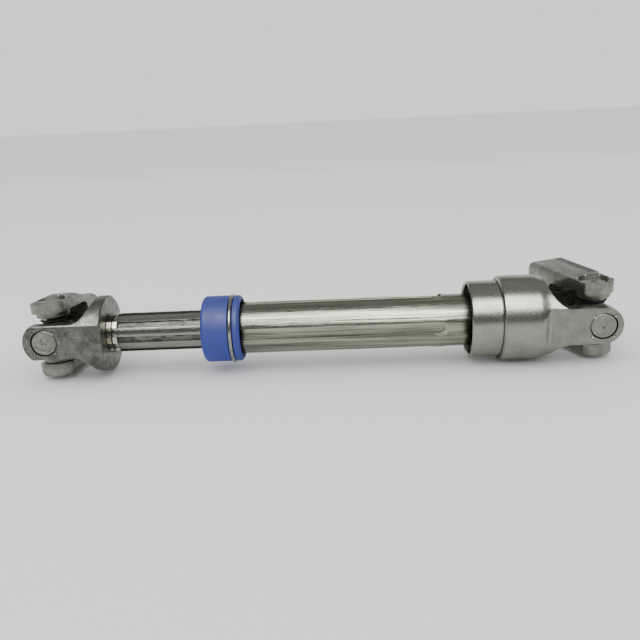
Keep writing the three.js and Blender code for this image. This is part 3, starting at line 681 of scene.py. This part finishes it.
flange_radius = 22.7
forged_steel = finish_of(
    "forged_steel", (0.20, 0.21, 0.185), (0.07, 0.075, 0.066), 4.5, 0.8, 0.30, 0.44, 140)
lower_fork = turned([
    (-33.6, flange_radius - 0.8), (-32.8, flange_radius), (12.8, flange_radius)], 192)
flange_scoop = curve((-28.2, flange_radius), (-24.6, 15.5), (-21.6, 10.9), (-16.5, 10.1), 20)
trim_to_ears(lower_fork, flange_radius, 10.1, 12.4, flange_scoop, 22, 13.2, [(-40, ear_face)])
cut(lower_fork, rod(neck_radius + clearance, -34.6, -21))
stake(lower_fork, 8.5, ear_face + 0.3, "Y")
soften(lower_fork, 1.1, 4, 28)
half_turn = Matrix.Rotation(math.pi, 4, "Z")
lower_place = Matrix.Translation(lower_centre) @ lower_turn @ to_metres @ half_turn
settle(lower_fork, "flange_fork", lower_place, "sliding_shaft", ["lower_fork"], forged_steel)

# ---- End yokes -----------------------------------------------------------------------------------
# Forged steel, plated, with the bearing bosses and the hub machined. The hub is bored,
# splined and slit below, and a pinch bolt, not fitted here, closes it on its shaft.
# Made with the pins along Z and the hub towards +X; left and right are seen that way.
recess_radius = 8.6
recess_depth = 1.4
spline_radius = 8.6
spline_root = 0.94
spline_count = 48
slit_width = 3
bolt_radius = 4.2
bolt_seat_radius = 7.5
bolt_seat_depth = 2.2
bolt_from_end = 11
bolt_below = 13.6
yoke_steel = finish_of(
    "yoke_steel", (0.30, 0.305, 0.265), (0.18, 0.183, 0.16), 5, 0.8, 0.36, 0.50, 110)
# Dark steel used as a painted reflection on the upper yoke's planed strip.
strip_reflection_finish = finish_of(
    "strip_reflection_finish", (0.17, 0.17, 0.165), (0.07, 0.07, 0.068), 2.2, 0.5, 0.45, 0.62, 200)


def end_yoke(face, boss, arm, left, right, arm_end, hub_start, length, thickness, pad_depth, pad_radius,
             floor, fillet, hub_top, slope_start, slope_end, bevel_width, bevel_depth):
    """A yoke from its sizes. Its hub is as high as its arms, or slopes down to a lower top behind them."""
    stocky = hub_top < face - 0.1
    yoke = block((-boss - 1, -right, -face), (slope_end if stocky else length, left, face))
    round_edges(yoke, lambda mid, way: abs(way.x) > 0.9, fillet, 8)
    if stocky:
        slope = block((slope_start, -right - 1, hub_top), (slope_end + 1, left + 1, face + 0.1))
        slide_edges(
            slope, lambda mid, way: mid.x < slope_start + 0.1 and mid.z < hub_top + 0.1,
            (slope_end - slope_start, 0, 0))
        cut(yoke, slope)
        hub = block((slope_end - 3, -right, -face), (length, left, hub_top))
        round_edges(hub, lambda mid, way: abs(way.x) > 0.9, fillet, 8)
        weld(yoke, hub)
    for side, half in ((1, left), (-1, right)):
        low, high = sorted((side * arm, side * (half + 0.05)))
        waist = block((-boss - 3, low, -face - 1), (hub_start, high, face + 1))
        slide_edges(
            waist, lambda mid, way: (
                mid.x > hub_start - 0.1 and abs(abs(mid.y) - arm) < 0.01 and abs(way.z) > 0.9),
            (arm_end - hub_start, 0, 0))
        cut(yoke, waist)
    corner = block((-boss - 2, -arm - 2, -face - 1), (0, arm + 2, face + 1))
    cut(corner, rod(boss, -face - 2, face + 2, "Z", rounds=128))
    cut(yoke, corner)
    inside = face - thickness
    gap = block((-boss - 3, -right - 2, -inside), (floor, left + 2, inside))
    round_edges(gap, lambda mid, way: mid.x > floor - 0.1 and abs(way.y) > 0.9, 4.5, 10)
    cut(yoke, gap)
    for side in (-1, 1):
        weld(yoke, rod(pad_radius, *sorted((side * (inside - pad_depth), side * (inside + 1))), "Z"))
    cut(yoke, rod(bearing_hole, -face - 1, face + 1, "Z"))
    for side in (-1, 1):
        cut(yoke, rod(recess_radius, *sorted((side * (face - recess_depth), side * (face + 1))), "Z"))
    bore_start = floor - 7
    splines = rod(spline_radius, bore_start, length + 1, rounds=2 * spline_count)
    choose_edges(splines, lambda mid, way: (
        abs(way.x) > 0.9 and round(math.atan2(mid.y, mid.z) * spline_count / math.pi) % 2 == 0))
    bpy.ops.transform.resize(value=(1, spline_root, spline_root), center_override=(floor, 0, 0))
    bpy.ops.object.mode_set(mode="OBJECT")
    cut(yoke, splines)
    cut(yoke, block((bore_start, -slit_width / 2, -face - 1), (length + 1, slit_width / 2, -7)))
    bolt = (length - bolt_from_end, 0, -bolt_below)
    cut(yoke, rod(bolt_radius, -right - 1, left + 1, "Y", bolt, 64))
    cut(yoke, rod(bolt_seat_radius, left - bolt_seat_depth, left + 1, "Y", bolt, 64))
    plane = block(
        (hub_start - 3, -right - 1, hub_top - bevel_depth), (length + 1, bevel_width - right, hub_top + 2))
    slide_edges(
        plane, lambda mid, way: (
            abs(mid.y - bevel_width + right) < 0.01 and mid.z < hub_top and abs(way.x) > 0.9),
        (0, 0, bevel_depth))
    cut(yoke, plane)
    stake(yoke, recess_radius + 0.3, face + 0.2, "Z", 7)
    return soften(yoke, 0.5, 3, 28)


planed_width = 8
planed_side = 13.8
upper_yoke = end_yoke(
    face=21.9, boss=11.2, arm=9.6, left=12, right=planed_side, arm_end=9, hub_start=14, length=49.5,
    thickness=6.9, pad_depth=3, pad_radius=9.5, floor=27, fillet=3.5, hub_top=21.9, slope_start=18,
    slope_end=22, bevel_width=planed_width, bevel_depth=0.35)
upper_tilt = Matrix.Rotation(math.radians(-2.25), 4, "Y")
upper_fold = Matrix.Rotation(math.radians(107), 4, "Z")
upper_cross_place = Matrix.Translation(upper_centre) @ upper_turn @ upper_tilt @ to_metres
upper_yoke_place = upper_cross_place @ upper_fold
settle(upper_yoke, "column_yoke", upper_yoke_place, "upper_end_yoke", ["upper_yoke"],
       yoke_steel)
to_bench = upper_yoke_place.inverted()
pin_line = upper_yoke_place.to_3x3().normalized() @ Vector((0, 0, 1))
# The planed strip along the upper yoke's side, with the punch marks beside it, is painted dark: a painted
# reflection.
paint(upper_yoke, strip_reflection_finish, lambda mid, facing: (
    (to_bench @ mid).y < planed_width - planed_side - 1 and facing.dot(pin_line) > 0.8))

lower_yoke = end_yoke(
    face=22.6, boss=12.1, arm=10.2, left=11.5, right=11.5, arm_end=8, hub_start=13, length=45,
    thickness=7.4, pad_depth=3, pad_radius=9.6, floor=25.5, fillet=6, hub_top=16.5, slope_start=16,
    slope_end=25, bevel_width=3, bevel_depth=3)
lower_tilt = Matrix.Rotation(math.radians(-3), 4, "Y")
lower_fold = Matrix.Rotation(math.radians(88), 4, "Z")
lower_cross_place = Matrix.Translation(lower_centre) @ lower_turn @ lower_tilt @ to_metres
lower_yoke_place = lower_cross_place @ lower_fold
settle(lower_yoke, "gear_yoke", lower_yoke_place, "lower_end_yoke", ["lower_yoke"],
       yoke_steel)

# ---- Crosses and bearings ------------------------------------------------------------------------
# Each cross is forged, with four ground trunnions. A drawn and hardened cap full of
# needle rollers runs on each trunnion, with a rubber seal between it and the cross.
bearing_face = 20.4
bearing_mouth = 10.6
bearing_radius = 7.5
trunnion_radius = 4.9
seal_end = bearing_mouth - clearance
bearing_steel = finish_of(
    "bearing_steel", (0.28, 0.29, 0.235), (0.165, 0.17, 0.14), 4, 0.5, 0.22, 0.36, 50)

cross = block((-6.4, -6.4, -6.4), (6.4, 6.4, 6.4))
round_edges(cross, lambda mid, way: True, 2.4, 4)
for along in ("Y", "Z"):
    weld(cross, rod(6.8, -8.5, 8.5, along))
    weld(cross, rod(trunnion_radius, -18.6, 18.6, along))
soften(cross, 0.5, 3, 30)

bearing = turned([
    (18.9, 0.5), (18.9, 6.5), (bearing_mouth, 6.5), (bearing_mouth, bearing_radius),
    (bearing_face - 0.6, bearing_radius), (bearing_face, bearing_radius - 0.6), (bearing_face, 5.6),
    (20.25, 5.4), (20.25, 2.2), (bearing_face, 2.0), (bearing_face, 1.5), (20.0, 0.7)], 72)
soften(bearing, 0.12, 2, 24)

seal = turned([
    (8.8, trunnion_radius + clearance), (8.8, 6.6), (9.3, 7.4), (9.9, 8.0), (seal_end, 8.0),
    (seal_end, 6.9), (9.9, 6.3), (seal_end, 5.8), (seal_end, trunnion_radius + clearance),
    (8.8, trunnion_radius + clearance)], 72)
soften(seal, 0.12, 2, 24)


def another(piece):
    copy = piece.copy()
    copy.data = piece.data.copy()
    bpy.context.scene.collection.objects.link(copy)
    return copy


joint_ends = {
    "upper": (upper_place, upper_cross_place, upper_yoke_place, "coupling"),
    "lower": (lower_place, lower_cross_place, lower_yoke_place, "sliding_shaft"),
}
for end, (fork_place, cross_place, yoke_place, fork_body) in joint_ends.items():
    settle(another(cross), end + "_spider", cross_place, end + "_spider", [end + "_cross"],
           forged_steel)
    to_front = -1 if end == "upper" else 1
    yoke_body = end + "_end_yoke"
    for side, place, body, axis, angle in (
            ("front", fork_place, fork_body, "Z", 90 * to_front),
            ("back", fork_place, fork_body, "Z", -90 * to_front),
            ("top", yoke_place, yoke_body, "Y", -90),
            ("bottom", yoke_place, yoke_body, "Y", 90)):
        turn = Matrix.Rotation(math.radians(angle), 4, axis)
        name = end + "_" + side
        settle(another(bearing), name + "_bearing", place @ turn, body, [name + "_bearing_cup"],
               bearing_steel)
        settle(another(seal), name + "_lip_seal", place @ turn, body, [name + "_seal"],
               rubber)
        frame["nodes"][name + "_rollers"].material_slots[0].material = bearing_steel
for pattern in (cross, bearing, seal):
    bpy.data.objects.remove(pattern)

# ---- Hidden pieces -----------------------------------------------------------------------------------
# The nylon sleeve that the shaft slides in, the snap ring that keeps it there, and the
# steel plate and ring that stop the coupling's twist. They show only through gaps.
nylon = finish_of("nylon", (0.66, 0.64, 0.54), (0.52, 0.50, 0.42), 5, 0.6, 0.38, 0.55, 40, metallic=0.0)
for node, finish in (
        ("slide_sleeve", nylon), ("retaining_ring", spring_wire), ("wind_up_plate", forged_steel),
        ("wind_up_housing", forged_steel)):
    frame["nodes"][node].material_slots[0].material = finish
